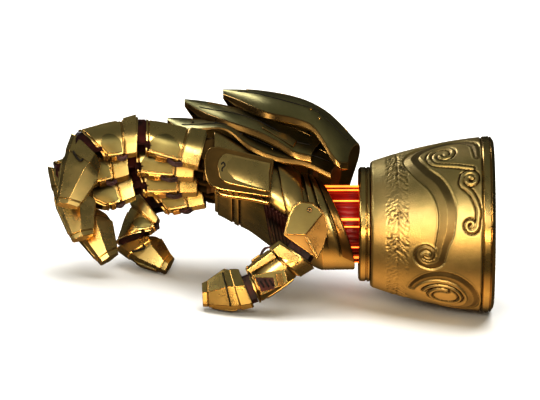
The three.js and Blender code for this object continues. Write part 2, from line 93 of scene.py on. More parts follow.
# ---- fingers: hinge axes lie across the finger, bends are from one segment to the next
SEGMENT = {"width": 12.5, "top": 17.5, "bottom": -17.5, "chamfer": 5}
WALL = 2
COLLAR_SHARE = 0.26
HINGE_GAP = (8, 7.5, 6)
SEGMENT_START = 8.4
FINGERS = {
    "index": {"at": (-54, -40, 53.5), "splay": 4, "bends": (-14.2, 27, 61),
              "lengths": (67.3, 51.5, 63.2), "scale": 1},
    "middle": {"at": (-61, -13.3, 55.3), "splay": 0, "bends": (-4, 20, 86.8),
               "lengths": (67.9, 61.4, 64.4), "scale": 1},
    "ring": {"at": (-59.5, 13.3, 52.5), "splay": 0, "bends": (2, 22, 94),
             "lengths": (66, 58.6, 63.6), "scale": 1},
    "little": {"at": (-54, 40, 50.3), "splay": -10, "bends": (7.4, 59.4, 76),
               "lengths": (59.7, 42.6, 44.4), "scale": 0.88},
}
THUMB_SIZE = {"width": 14, "top": 19, "bottom": -19, "chamfer": 6}
THUMB_AT, THUMB_PITCH, THUMB_WALL = (36.3, -60, 6.5), 73, 3
THUMB_BENDS, THUMB_LENGTHS, THUMB_GAPS = (0, 36, 28.5), (32, 57, 44), (0, 6, 6)

# ---- back plates: how round the section is, then rows of x, half width, rim height, crest height
PLATES = {
    "back_plate_low": (1.3, np.array([
        [-96, 1.5, 104, 107], [-84, 22, 86.7, 107], [-66, 37, 80.5, 105], [-40, 49, 75, 99],
        [-20, 54.6, 57, 91], [2, 55, 46, 86], [37, 53, 40, 80], [68, 48, 31, 65]])),
    "back_plate_mid": (1.4, np.array([
        [-80, 1.5, 122, 126], [-66, 14, 108, 124.5], [-41, 37, 88, 119], [-10, 50, 71, 109],
        [8, 53.5, 60, 102], [20, 55, 51.5, 98], [50, 55, 45, 83]])),
    "back_plate_top": (1.9, np.array([
        [-44, 1.5, 130, 136], [-30, 18, 117, 134.5], [-5, 42, 95, 130], [26, 52, 83, 122],
        [41, 57, 73, 115], [56, 58.5, 50, 106], [72, 58, 38, 90], [84, 52, 40, 76]])),
}
PLATE_THICKNESS, PLATE_REAR_SLOPE = 1.8, 12


# ---- materials

def node_tree(name):
    """A new material with its nodes, links, shader and object coordinates."""
    material = bpy.data.materials.new(name)
    material.use_nodes = True
    nodes = material.node_tree.nodes
    shader = nodes["Principled BSDF"]
    place = nodes.new("ShaderNodeTexCoord")
    return material, nodes, material.node_tree.links, shader, place.outputs["Object"]


def noise(nodes, links, place, scale, detail=4.0, roughness=0.55):
    """A noise texture's factor."""
    texture = nodes.new("ShaderNodeTexNoise")
    texture.inputs["Scale"].default_value = scale
    texture.inputs["Detail"].default_value = detail
    texture.inputs["Roughness"].default_value = roughness
    links.new(place, texture.inputs["Vector"])
    return texture.outputs["Fac"]


def ramp(nodes, links, factor, stops):
    """A colour for a factor, from (position, colour) stops."""
    made = nodes.new("ShaderNodeValToRGB")
    elements = made.color_ramp.elements
    while len(elements) < len(stops):
        elements.new(0.5)
    for element, (position, colour) in zip(elements, stops):
        element.position = position
        element.color = (*colour, 1)
    links.new(factor, made.inputs["Fac"])
    return made.outputs["Color"]


def mixed(nodes, links, factor, first, second):
    """A mix of two colours, each a tuple or a socket."""
    made = nodes.new("ShaderNodeMix")
    made.data_type = "RGBA"
    links.new(factor, made.inputs[0])
    for socket, value in ((made.inputs[6], first), (made.inputs[7], second)):
        if isinstance(value, tuple):
            socket.default_value = (*value, 1)
        else:
            links.new(value, socket)
    return made.outputs[2]


def mapped(nodes, links, value, low, high, to_low, to_high):
    """A value taken from one range to another."""
    made = nodes.new("ShaderNodeMapRange")
    for name, number in (("From Min", low), ("From Max", high), ("To Min", to_low), ("To Max", to_high)):
        made.inputs[name].default_value = number
    links.new(value, made.inputs["Value"])
    return made.outputs["Result"]


def metal(name, bright, tarnish, recess_shade, rough, grain=0.05, relief_shade=False):
    """Metal with tarnish in clouds, painted shade in recesses, uneven polish and a fine satin grain."""
    material, nodes, links, shader, place = node_tree(name)
    clouds = noise(nodes, links, place, 16, 5, 0.6)
    colour = ramp(nodes, links, clouds, [(0.36, tarnish), (0.62, bright)])
    # painted shade: the colour darkens towards the recess colour wherever nearby surfaces occlude
    hidden = nodes.new("ShaderNodeAmbientOcclusion")
    hidden.samples = 4
    hidden.inputs["Distance"].default_value = 0.014
    shade = mapped(nodes, links, hidden.outputs["AO"], 0.2, 0.85, 1, 0)
    colour = mixed(nodes, links, shade, colour, recess_shade)
    if relief_shade:
        # painted shade on the engraving, read from the mesh's shade attribute
        shade_attribute = nodes.new("ShaderNodeAttribute")
        shade_attribute.attribute_name = "relief_shade"
        relief_shade_mix = mapped(nodes, links, shade_attribute.outputs["Fac"], 0.1, 0.46, 0.97, 0)
        colour = mixed(nodes, links, relief_shade_mix, colour, recess_shade)
    links.new(colour, shader.inputs["Base Color"])
    shader.inputs["Metallic"].default_value = 1
    polish = noise(nodes, links, place, 45, 6, 0.65)
    links.new(mapped(nodes, links, polish, 0.3, 0.7, rough[0], rough[1]), shader.inputs["Roughness"])
    bump = nodes.new("ShaderNodeBump")
    bump.inputs["Strength"].default_value = grain
    bump.inputs["Distance"].default_value = 0.0006
    links.new(noise(nodes, links, place, 900, 2), bump.inputs["Height"])
    links.new(bump.outputs["Normal"], shader.inputs["Normal"])
    return material


def glowing(name, dark, light, colour, strength):
    """A translucent red skin lit from inside, with streaks."""
    material, nodes, links, shader, place = node_tree(name)
    streaks = noise(nodes, links, place, 55, 3)
    links.new(ramp(nodes, links, streaks, [(0.3, dark), (0.7, light)]), shader.inputs["Base Color"])
    links.new(ramp(nodes, links, streaks, [(0.3, dark), (0.65, colour)]), shader.inputs["Emission Color"])
    shader.inputs["Emission Strength"].default_value = strength
    shader.inputs["Roughness"].default_value = 0.35
    return material


def painted(name, dark, light, rough, metallic=0.0):
    """A dull coat in two tones with uneven polish."""
    material, nodes, links, shader, place = node_tree(name)
    patches = noise(nodes, links, place, 70, 4)
    links.new(ramp(nodes, links, patches, [(0.35, dark), (0.7, light)]), shader.inputs["Base Color"])
    worn = noise(nodes, links, place, 260, 3)
    links.new(mapped(nodes, links, worn, 0.3, 0.7, rough - 0.1, rough + 0.1), shader.inputs["Roughness"])
    shader.inputs["Metallic"].default_value = metallic
    bump = nodes.new("ShaderNodeBump")
    bump.inputs["Strength"].default_value = 0.2
    bump.inputs["Distance"].default_value = 0.0005
    links.new(worn, bump.inputs["Height"])
    links.new(bump.outputs["Normal"], shader.inputs["Normal"])
    return material


# the colour of painted shade in creases, seams and grooves
PAINTED_RECESS_SHADE = (0.045, 0.020, 0.006)
LOOKS = {
    "gold": metal("gold", (0.84, 0.62, 0.26), (0.56, 0.45, 0.19), PAINTED_RECESS_SHADE, (0.22, 0.36)),
    "engraved": metal("engraved_gold", (0.88, 0.68, 0.32), (0.62, 0.50, 0.22), (0.07, 0.034, 0.010),
                      (0.36, 0.50), 0.3, relief_shade=True),
    # a darker copy of the gold for plate faces, tops and carried-over nodes: painted shade
    "olive": metal("dark_gold", (0.52, 0.45, 0.21), (0.34, 0.31, 0.14), (0.08, 0.05, 0.015),
                   (0.32, 0.46), 0.16),
    # the darkest copy of the gold, for side lenses, thumb facets and the window frame: painted shade
    "leaf": metal("dull_shaded_gold", (0.21, 0.18, 0.08), (0.14, 0.12, 0.05), PAINTED_RECESS_SHADE, (0.30, 0.42), 0.12),
    # brighter, warmer polished edges: partly edge wear, partly painted highlight and reflection
    "edge": metal("worn_edge_and_highlight", (0.93, 0.62, 0.24), (0.72, 0.42, 0.13), PAINTED_RECESS_SHADE, (0.14, 0.24)),
    # a darker, warmer copy of the gold for rims, cheek, thumb root and rear heel plates: painted reflection
    # of the warm floor and painted shade
    "brown": metal("brown_gold", (0.44, 0.26, 0.085), (0.28, 0.16, 0.05), PAINTED_RECESS_SHADE, (0.24, 0.38)),
    "red": painted("inner_red", (0.008, 0.002, 0.002), (0.075, 0.012, 0.007), 0.34, 0.4),
    "cable": painted("cable", (0.016, 0.008, 0.009), (0.115, 0.048, 0.052), 0.3),
    "glow": glowing("glow_core", (0.05, 0.001, 0.001), (0.16, 0.004, 0.002), (0.65, 0.008, 0.002), 0.3),
    "bars": glowing("glow_bars", (0.8, 0.12, 0.02), (1.0, 0.4, 0.1), (1.0, 0.16, 0.015), 4.0),
    "dark": painted("dark_hole", (0.004, 0.003, 0.002), (0.012, 0.008, 0.005), 0.6),
}


# ---- making pieces

def make(name, points, faces, place, look, body="hand", bevel=0.0, replaces=(), edge="edge",
         relief_shade=None):
    """One mesh object from points in millimetres in the frame `place`."""
    grid = np.array(points, float) @ np.array(place.to_3x3()).T + np.array(place.translation)
    mesh = bpy.data.meshes.new(name)
    mesh.from_pydata((grid * MM).tolist(), [], faces)
    work = bmesh.new()
    work.from_mesh(mesh)
    bmesh.ops.recalc_face_normals(work, faces=work.faces)
    work.to_mesh(mesh)
    work.free()
    mesh.shade_smooth()
    mesh.materials.append(LOOKS[look])
    if relief_shade is not None:
        mesh.attributes.new("relief_shade", "FLOAT", "POINT").data.foreach_set("value", relief_shade)
    piece = bpy.data.objects.new(name, mesh)
    bpy.context.scene.collection.objects.link(piece)
    if bevel:
        mesh.materials.append(LOOKS[edge])
        cut = piece.modifiers.new("edges", "BEVEL")
        cut.width = bevel * MM
        cut.segments = 2
        cut.limit_method = "ANGLE"
        cut.angle_limit = math.radians(22)
        # every bevel takes the edge look: edge wear and painted highlight
        cut.material = 1
        piece.modifiers.new("normals", "WEIGHTED_NORMAL").keep_sharp = False
    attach(piece, body)
    if replaces:
        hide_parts(*replaces)
    return piece


def stitched(rings, closed=False):
    """Points and faces through rings; `closed` joins the last ring to the first, else ends are capped."""
    count = len(rings[0])
    points = [p for ring in rings for p in ring]
    faces = []
    total = len(rings)
    for r in range(total if closed else total - 1):
        a, b = r * count, ((r + 1) % total) * count
        for k in range(count):
            n = (k + 1) % count
            faces.append((a + k, a + n, b + n, b + k))
    if not closed:
        faces.append(tuple(range(count)))
        faces.append(tuple((total - 1) * count + k for k in range(count)))
    return points, faces


def turned(outline, turns=144):
    """A closed outline of (x, radius) turned round the X axis."""
    rings = []
    for i in range(turns):
        angle = 2 * math.pi * i / turns
        rings.append([(x, r * math.cos(angle), r * math.sin(angle)) for x, r in outline])
    return stitched(rings, closed=True)


def slab(outline, low, high, to_point=lambda u, v, h: (u, v, h)):
    """A flat or bent slab: an outline of (u, v) between two heights."""
    rings = [[to_point(u, v, low) for u, v in outline], [to_point(u, v, high) for u, v in outline]]
    return stitched(rings)


def sheet(outer, inner):
    """A solid between two grids of points of the same size."""
    rows, columns = len(outer), len(outer[0])
    half = rows * columns
    points = [p for grid in (outer, inner) for row in grid for p in row]
    faces = []
    for r in range(rows - 1):
        for k in range(columns - 1):
            a = r * columns + k
            faces.append((a, a + 1, a + columns + 1, a + columns))
            faces.append((half + a, half + a + columns, half + a + columns + 1, half + a + 1))
    border = list(range(columns))
    border += [r * columns + columns - 1 for r in range(1, rows)]
    border += [(rows - 1) * columns + k for k in range(columns - 2, -1, -1)]
    border += [r * columns for r in range(rows - 2, 0, -1)]
    for i, a in enumerate(border):
        b = border[(i + 1) % len(border)]
        faces.append((a, b, half + b, half + a))
    return points, faces


def pipe(route, radius, sides=10):
    """A tube with round ends cut flat, along a list of points."""
    path = np.array(route, float)
    rings = []
    side = None
    for i, point in enumerate(path):
        along = path[min(i + 1, len(path) - 1)] - path[max(i - 1, 0)]
        along /= np.linalg.norm(along)
        if side is None:
            side = np.cross(along, [0.3, 0.2, 0.93])
        side = side - along * np.dot(side, along)
        side /= np.linalg.norm(side)
        up = np.cross(along, side)
        rings.append([
            tuple(point + radius * (side * math.cos(a) + up * math.sin(a)))
            for a in np.linspace(0, 2 * math.pi, sides, endpoint=False)
        ])
    return stitched(rings)


def curve_through(points, steps=12):
    """A smooth curve through points, by Catmull-Rom spans."""
    path = [np.array(p, float) for p in points]
    path = [2 * path[0] - path[1], *path, 2 * path[-1] - path[-2]]
    made = []
    for a, b, c, d in zip(path, path[1:], path[2:], path[3:]):
        for i in range(steps):
            t = i / steps
            made.append(0.5 * (2 * b + (c - a) * t + (2 * a - 5 * b + 4 * c - d) * t * t
                               + (3 * b - a - 3 * c + d) * t ** 3))
    made.append(path[-2])
    return [tuple(p) for p in made]


# ---- cuff

CUFF_MEAN_RADIUS = 74
CUFF_COLUMNS, CUFF_ROWS = 580, 132
BAND_START, BAND_END = 106.5, 128


def cuff_radius(x):
    """The outer radius of the cuff at x along the arm."""
    share = (x - CUFF_START) / (CUFF_END - CUFF_START)
    straight = CUFF_RADIUS_HAND + share * (CUFF_RADIUS_ELBOW - CUFF_RADIUS_HAND)
    return straight + CUFF_BULGE * 4 * share * (1 - share)


def volute(centre, radius, start, turns, oval=1.0, shrink=0.72):
    """A spiral running inwards from the angle `start`; negative turns run clockwise."""
    path = []
    for t in np.linspace(0, 1, 60):
        angle = math.radians(start) + t * turns * 2 * math.pi
        r = radius * (1 - shrink * t)
        path.append((centre[0] + r * math.cos(angle), centre[1] + r * math.sin(angle) * oval))
    return path


# each stroke is (route, half widths along it, kind), in x along the arm and length round the
# cuff; "vee" is a sunken band whose two faces meet in a ridge and "cord" a raised line between grooves
STROKES = [
    (curve_through([(191, 66), (187, 88), (166, 99), (141, 93), (130, 78), (139, 55), (154, 36), (162, 16),
                    (162, -4), (158, -20)]) + volute((144, -30), 11.5, -22, -1.3),
     (3, 5, 6.5, 7.5, 8, 8, 7, 4, 3, 2.2, 1.8), "vee"),
    (curve_through([(186, 52), (172, 56), (152, 62), (146, 72)]) + volute((160, 75), 14, 190, -0.95),
     (1.5, 1.9), "cord"),
    (volute((184, 41), 7.6, 150, -1.3)[::-1]
     + curve_through([(177, 45), (176, 36), (185, 27), (191, 13), (190.5, 2)])
     + volute((184, -1), 6.4, 20, -1.2), (1.7, 1.7), "cord"),
    (volute((160, -80), 30, 168, -0.72, shrink=0.12), (2.5, 5, 5.5, 5, 3), "vee"),
    (volute((160, -79), 18.5, 165, -1.25, 0.9, shrink=0.42), (1.3, 1.7), "cord"),
]


def stroke_relief(x, s, stroke):
    """Height and tone that a stroke adds at the places x, s on the cuff; the tone is painted shade, one face
    of a vee darker than the other and the grooves beside a cord darkest; a tone of 0 is darkest.
    """
    route, widths, kind = stroke
    path = np.array(route)
    width = np.interp(np.linspace(0, 1, len(path)), np.linspace(0, 1, len(widths)), widths)
    reach = width.max() * 2 + 2
    low, high = path.min(0) - reach, path.max(0) + reach
    near = np.nonzero((x > low[0]) & (x < high[0]) & (s > low[1]) & (s < high[1]))[0]
    a, b = path[:-1], path[1:]
    best = np.full(len(near), 1e9)
    wide = np.ones(len(near))
    hand = np.ones(len(near))
    spot = np.stack([x[near], s[near]], 1)
    for i in range(len(a)):
        along = b[i] - a[i]
        length = float(np.dot(along, along)) or 1e-9
        t = np.clip((spot - a[i]) @ along / length, 0, 1)
        off = spot - a[i] - t[:, None] * along
        gap = np.linalg.norm(off, axis=1)
        closer = gap < best
        best[closer] = gap[closer]
        wide[closer] = width[i]
        hand[closer] = np.sign(along[0] * off[:, 1] - along[1] * off[:, 0])[closer]
    share = best / wide
    if kind == "vee":
        face = -0.1 - 1.4 * share
        wall = np.clip((best - wide) / 0.7, 0, 1)
        rise = np.where(share < 1, face, -1.5 * (1 - wall)) + 0.4 * np.exp(-((best - wide - 1.3) / 0.6) ** 2)
        # painted shade: the two faces of a vee are darkened unequally, by which side of the route they lie on
        tone = np.where(share < 1, np.where(hand > 0, 0.22, 0.32), 1)
    else:
        ridge = np.where(share < 1, np.cos(share * math.pi / 2) * 0.9, 0)
        rise = ridge - 1.4 * np.exp(-((best - wide - 0.9) / 0.8) ** 2)
        # painted shade in the grooves beside a cord
        tone = np.where(rise < -0.5, 0.08, 1)
    heights, tones = np.zeros(len(x)), np.ones(len(x))
    heights[near], tones[near] = rise, tone
    return heights, tones


def band_relief(x, s):
    """Rough leafwork in a band round the cuff."""
    middle = (BAND_START + BAND_END) / 2
    half = (BAND_END - BAND_START) / 2
    off = np.abs(x - middle)
    wander = 1.5 * np.sin(s * 0.31 + 1.7 * np.sin(x * 0.42)) + 1.1 * np.sin(x * 0.77 + s * 0.53)
    leaves = np.abs(np.sin((s + 1.1 * off + wander) * math.pi / 6.5)) ** 0.7
    twigs = np.abs(np.sin((s * 1.31 - 1.6 * off + 2.2 * wander) * math.pi / 4.1)) ** 0.6
    crumbs = np.sin(x * 2.9 + 3 * np.sin(s * 1.3)) * np.sin(s * 2.3 + 2 * np.sin(x * 1.7))
    spine = np.exp(-(off / 0.8) ** 2)
    fade = np.clip((half - off) / 1.2, 0, 1)
    worn = 0.62 + 0.38 * np.sin(s * 0.12 + 1.6 * np.sin(s * 0.047) + 0.05 * x)
    return fade * worn * (0.9 * leaves + 0.55 * twigs + 0.35 * crumbs - 1.25 - 0.5 * spine)


def cuff_shell():
    xs = np.linspace(CUFF_START, CUFF_END, CUFF_ROWS)
    angles = np.linspace(0, 2 * math.pi, CUFF_COLUMNS, endpoint=False)
    x, angle = np.meshgrid(xs, angles, indexing="ij")
    x, angle = x.ravel(), angle.ravel()
    # 0 faces the thumb side; the pattern repeats on the far side
    half_turn = math.pi * CUFF_MEAN_RADIUS
    s = (angle * CUFF_MEAN_RADIUS + half_turn / 2) % half_turn - half_turn / 2
    lift = band_relief(x, s)
    # painted shade: sunk leafwork is coloured darker
    tones = 0.5 + lift / 2.6
    for stroke in STROKES:
        drawn, tone = stroke_relief(x, s, stroke)
        stronger = np.abs(drawn) > np.abs(lift)
        lift = np.where(stronger, drawn, lift)
        tones = np.where(stronger, tone, tones)
    ends = np.minimum((x - CUFF_START) / 2.5, (CUFF_END - x) / 2.0)
    round_off = 1.3 * (1 - np.clip(ends, 0, 1)) ** 2
    radius = cuff_radius(x) + np.clip(lift, -2.2, 0.7) - round_off
    outer = np.stack([x, -radius * np.cos(angle), radius * np.sin(angle)], 1)
    steps = [(CUFF_END, cuff_radius(CUFF_END) - CUFF_WALL), (160, cuff_radius(160) - CUFF_WALL),
             (125, cuff_radius(125) - CUFF_WALL), (CUFF_START + CUFF_WALL, CUFF_RADIUS_HAND - 4),
             (CUFF_START + CUFF_WALL, FLANGE_BORE), (CUFF_START, FLANGE_BORE)]
    rings = [outer[r * CUFF_COLUMNS:(r + 1) * CUFF_COLUMNS] for r in range(CUFF_ROWS)]
    for px, pr in steps:
        rings.append(np.stack([np.full(CUFF_COLUMNS, px), -pr * np.cos(angles), pr * np.sin(angles)], 1))
    points, faces = stitched([r.tolist() for r in rings], closed=True)
    # painted shade for the engraving, handed to the material as a mesh attribute
    relief_shade = np.full(len(points), 1.0)
    relief_shade[:len(lift)] = tones
    make("cuff", points, faces, ARM, "engraved", replaces=["cuff_shell"], relief_shade=np.clip(relief_shade, 0, 1))


def cuff_trims():
    r = RIM_RADIUS
    rim = [(CUFF_END + 0.4, RIM_BORE), (CUFF_END + 0.4, r - 1.6), (CUFF_END + 1.2, r - 0.6),
           (CUFF_END + 2.0, r - 0.2), (RIM_END - 4.6, r), (RIM_END - 4.2, r - 0.9),
           (RIM_END - 3.6, r - 0.9), (RIM_END - 3.2, r - 0.1), (RIM_END - 2.4, r - 0.7),
           (RIM_END - 0.5, r - 3.4), (RIM_END, r - 4.4), (RIM_END, RIM_BORE + 1), (RIM_END - 1, RIM_BORE)]
    make("cuff_rim_band", *turned(rim), ARM, "gold", bevel=0.25, replaces=["cuff_rim"])
    q, start, end = RING_RADIUS, RING_START, CUFF_START - 0.4
    ring = [(start, FLANGE_BORE), (start, q - 2.2), (start + 0.7, q - 0.8), (start + 2, q),
            (start + 6.2, q), (start + 6.8, q - 0.8), (start + 7.6, q - 0.8), (start + 8.2, q + 0.3),
            (end - 0.6, q + 0.3), (end, q - 0.6), (end, FLANGE_BORE)]
    make("cuff_collar", *turned(ring), ARM, "gold", bevel=0.25, replaces=["cuff_front_ring"])


# ---- glowing core

BAR_ANGLES = (78, 62, 37, 7, -4, -37, -60, -96, -121, -150, 176, 149, 118, 99)


def wrist_core():
    ribs, turns = 44, 176
    rings = []
    for i in range(turns):
        angle = 2 * math.pi * i / turns
        rib = 1.1 * abs(math.sin(angle * ribs / 2))
        profile = [(CORE_START, CORE_BORE), (CORE_START, CORE_RADIUS + rib), (CORE_END, CORE_RADIUS + rib),
                   (CORE_END, CORE_BORE)]
        rings.append([(x, -r * math.cos(angle), r * math.sin(angle)) for x, r in profile])
    make("core_tube", *stitched(rings, closed=True), ARM, "glow", replaces=["wrist_core"])
    points, faces = [], []
    for i, degrees in enumerate(BAR_ANGLES):
        angle = math.radians(degrees)
        r = CORE_RADIUS + 1.6
        route = [(x, -r * math.cos(angle), r * math.sin(angle)) for x in (50, 60, 72, 84, 91)]
        part, sides = pipe(route, 0.7 if i % 3 else 1.2)
        faces += [tuple(k + len(points) for k in face) for face in sides]
        points += part
    make("core_bars", points, faces, ARM, "bars")


# ---- palm

def palm_point(position, column, offset):
    position = min(max(position, 0), len(PALM) - 1)
    low = min(int(position), len(PALM) - 2)
    share = position - low
    smooth = share * share * (3 - 2 * share) * 0.35 + share * 0.65
    x, slope, z, width, height, tilt, power = PALM[low] + (PALM[low + 1] - PALM[low]) * smooth
    x = PALM[low][0] + (PALM[low + 1][0] - PALM[low][0]) * share
    angle = 2 * math.pi * column / PALM_COLUMNS
    bent = [math.copysign(abs(v) ** (2 / power), v) for v in (math.cos(angle), math.sin(angle))]
    y, up = (width + offset) * bent[0], (height + offset) * bent[1]
    c, s = math.cos(math.radians(tilt)), math.sin(math.radians(tilt))
    rise = y * s + up * c
    return (x + slope * rise, y * c - up * s, z + rise)


def hand_shell():
    """The palm and back of the hand, hollow."""
    sides = 96
    positions = np.linspace(0, len(PALM) - 1, 37)
    columns = [PALM_COLUMNS * k / sides for k in range(sides)]
    outer = [[palm_point(p, c, 0) for c in columns] for p in positions]
    inner = [[palm_point(p, c, -HAND_WALL) for c in columns] for p in positions]
    make("palm_shell", *stitched(outer + inner[::-1], closed=True), HAND, "gold", bevel=0.4,
         replaces=["hand_shell"])


PANEL_DEPTH, PANEL_STEPS = 0.2, 16


def palm_panel(name, corners, outer, look="gold", dome=0.0, **extra):
    """A plate on the palm. Corners are (position, column): front top, rear top, rear low, front low."""
    a, b, c, d = [np.array(corner, float) for corner in corners]

    def grid(offset, crown):
        rows = []
        for u in np.linspace(0, 1, PANEL_STEPS):
            row = []
            for v in np.linspace(0, 1, PANEL_STEPS):
                spot = (a * (1 - u) + b * u) * (1 - v) + (d * (1 - u) + c * u) * v
                swell = crown * (1 - (2 * u - 1) ** 4) * (1 - (2 * v - 1) ** 4)
                row.append(palm_point(spot[0], spot[1], offset + swell))
            rows.append(row)
        return rows
    return make(name, *sheet(grid(outer, dome), grid(PANEL_DEPTH, 0)), HAND, look, bevel=0.7, **extra)


def palm_panels():
    palm_panel("thumb_side_plate", [(1.86, 8.7), (2.95, 8.7), (2.62, 14.2), (2.1, 14.6)], 2.2,
               dome=1.2, replaces=["side_plate"])
    palm_panel("heel_strap", [(3.02, 8.7), (3.27, 8.7), (3.1, 14.5), (2.86, 14.5)], 2.6, dome=0.5)
    palm_panel("heel_plate_front", [(3.34, 8.4), (3.62, 8.6), (3.55, 16.4), (3.22, 15.6)], 3.0,
               dome=0.8, replaces=["heel_band"])
    palm_panel("heel_plate_rear", [(3.68, 8.4), (3.97, 8.4), (3.97, 17), (3.62, 16.4)], 2.4,
               look="brown", dome=0.6)
    palm_panel("palm_plate_front", [(0.1, 13.7), (0.62, 13.7), (0.62, 20.5), (0.1, 20.5)], 2.2,
               dome=0.6, replaces=["palm_plate"])
    palm_panel("palm_strap", [(0.68, 13.7), (0.84, 13.7), (0.84, 20.5), (0.68, 20.5)], 2.4,
               dome=0.3)
    palm_panel("palm_plate_rear", [(0.9, 13.7), (1.62, 14.4), (1.9, 20.5), (0.9, 20.5)], 2.2,
               dome=1.0)
    palm_panel("far_side_plate_front", [(0.1, 2.2), (1.3, 2.2), (1.4, -2.4), (0.1, -2.4)], 2.2,
               dome=0.8)
    palm_panel("far_side_plate_rear", [(1.4, 2.2), (2.8, 2.2), (2.8, -2.6), (1.5, -2.6)], 2.2,
               dome=0.8)
    palm_panel("far_heel_plate", [(2.9, 3.4), (3.9, 3.4), (3.9, -3.2), (2.9, -3)], 2.2,
               look="brown", dome=0.6)


CHEEK = [(4, 41), (-48, 54), (-56, 52), (-60, 44), (-60.5, 31), (-58, 20), (-52, 13), (-44, 10), (-1, 3)]


def index_cheek():
    nose = curve_through(CHEEK[1:8], 5)
    outline = [CHEEK[0], *nose, CHEEK[8]]

    def flat(u, v, h):
        return (u, -55 - h, v)
    make("index_cheek_plate", *slab(outline, 0, 4.4, flat), HAND, "brown", bevel=1.3,
         replaces=["index_cheek"])
    front = curve_through([(-44, 45), (-48, 38), (-48, 30), (-45, 20), (-38, 16)], 5)
    panel = [(1, 36.5), (-40, 46.5), *front, (-3.5, 8)]
    make("index_cheek_panel", *slab(panel, 3.5, 5.6, flat), HAND, "gold", bevel=0.7)

    def field(lift):
        """A domed field that covers the panel but for a step along its front and lower sides."""
        rows = []
        for u in np.linspace(0, 1, 15):
            nose = 8 * (1 - math.sqrt(max(0.0, 1 - (1 - u) ** 2)))
            row = []
            for v in np.linspace(0, 1, 11):
                low, high = 9.5 + u * -1.0 + (1 - u) * 11.5, 35 + (1 - u) * 9
                x = -40.5 + 39.5 * u + nose * (2 * v - 1) ** 2
                z = low + (high - low) * v
                dome = (1 - (2 * v - 1) ** 2) * (1 - (2 * u - 1) ** 4)
                row.append((x, -59.6 - lift * (0.9 + 1.3 * dome), z))
            rows.append(row)
        return rows
    make("index_cheek_field", *sheet(field(1), field(0)), HAND, "gold", bevel=0.5)
    key = curve_through([(-45, 35), (-43, 37), (-41.5, 34), (-44, 31), (-44, 28)], 6)
    make("index_cheek_mark", *pipe([(x, -60.4, z) for x, z in key], 0.7), HAND, "dark")
    lip = curve_through([(-50, 11), (-42, 6.5), (-20, 3), (0, -1.5)], 8)
    make("index_cheek_lip", *pipe([(x, -55.5, z) for x, z in lip], 2.2, 12), HAND, "edge")


# ---- back plates

def smooth_at(xs, values, x):
    """The value at x on a smooth curve through (xs, values)."""
    i = int(np.clip(np.searchsorted(xs, x) - 1, 0, len(xs) - 2))
    span = xs[i + 1] - xs[i]
    t = np.clip((x - xs[i]) / span, 0, 1)
    slopes = np.diff(values) / np.diff(xs)

    def tangent(k):
        if k == 0 or k == len(xs) - 1:
            return slopes[0 if k == 0 else -1]
        return 0.5 * (slopes[k - 1] + slopes[k])
    m0, m1 = tangent(i) * span, tangent(i + 1) * span
    return ((2 * t ** 3 - 3 * t ** 2 + 1) * values[i] + (t ** 3 - 2 * t ** 2 + t) * m0
            + (-2 * t ** 3 + 3 * t ** 2) * values[i + 1] + (t ** 3 - t ** 2) * m1)


def plate_row(rows, x):
    """Half width, rim height and crest height at x, on a smooth curve through the rows."""
    return [float(smooth_at(rows[:, 0], rows[:, i], x)) for i in (1, 2, 3)]


def plate_point(plate, x, t, lift=0.0):
    """A point of a plate's outer face: t runs from -1, the thumb side's rim, to 1."""
    power, rows = PLATES[plate]
    width, rim, crest = plate_row(rows, x)
    share = (x - rows[0, 0]) / (rows[-1, 0] - rows[0, 0])
    rear = PLATE_REAR_SLOPE * max(0.0, (share - 0.75) / 0.25)
    rise = (1 - min(abs(t), 1) ** power) ** (1 / power)
    y = (width + lift) * t
    return (x - rear * t * t, y, rim + (crest - rim + lift) * rise)


def plate_sheet(plate, x_range, t_range, low, high, steps=(40, 28)):
    def grid(lift):
        rows = []
        for x in np.linspace(*x_range, steps[0]):
            row = []
            for k in np.linspace(0, 1, steps[1]):
                t = math.sin(math.radians(90) * (t_range[0] + (t_range[1] - t_range[0]) * k))
                row.append(plate_point(plate, x, t, lift))
            rows.append(row)
        return rows
    return sheet(grid(high), grid(low))


def plate_rim(plate, side):
    """A thick rolled band under one edge of a plate, from its tip to its rear corner."""
    profile = [(-2.6, 1.2), (-0.4, 1.3), (0.9, 0.2), (1.0, -0.9), (0.2, -4.2), (-1.0, -4.9), (-2.4, -4.2),
               (-3.0, -1.0)]
    rows = PLATES[plate][1]
    rings = []
    for x in np.linspace(rows[0, 0], rows[-1, 0], 56):
        px, py, pz = plate_point(plate, x, side)
        fade = min(1.0, 0.45 + abs(py) / 30)
        if plate == "back_plate_low":  # thinner over the first finger segments, which swing up to it
            fade *= min(1.0, max(0.45, 1 + (x + 20) / 40))
        else:
            fade *= 1.3
        rings.append([(px, py + side * out * fade, pz + up * fade) for out, up in profile])
    return stitched(rings)


def plate_line(plate, spots, radius, lift=0.6):
    """A raised line that follows a plate through (x, t) spots."""
    route = [plate_point(plate, x, t, lift) for x, t in curve_through(spots, 8)]
    return pipe(route, radius, 8)


def plate_patch(plate, outline, low, high):
    """A raised panel on a plate from an outline of (x, t) spots."""
    return slab(outline, low, high, lambda u, v, h: plate_point(plate, u, v, h))


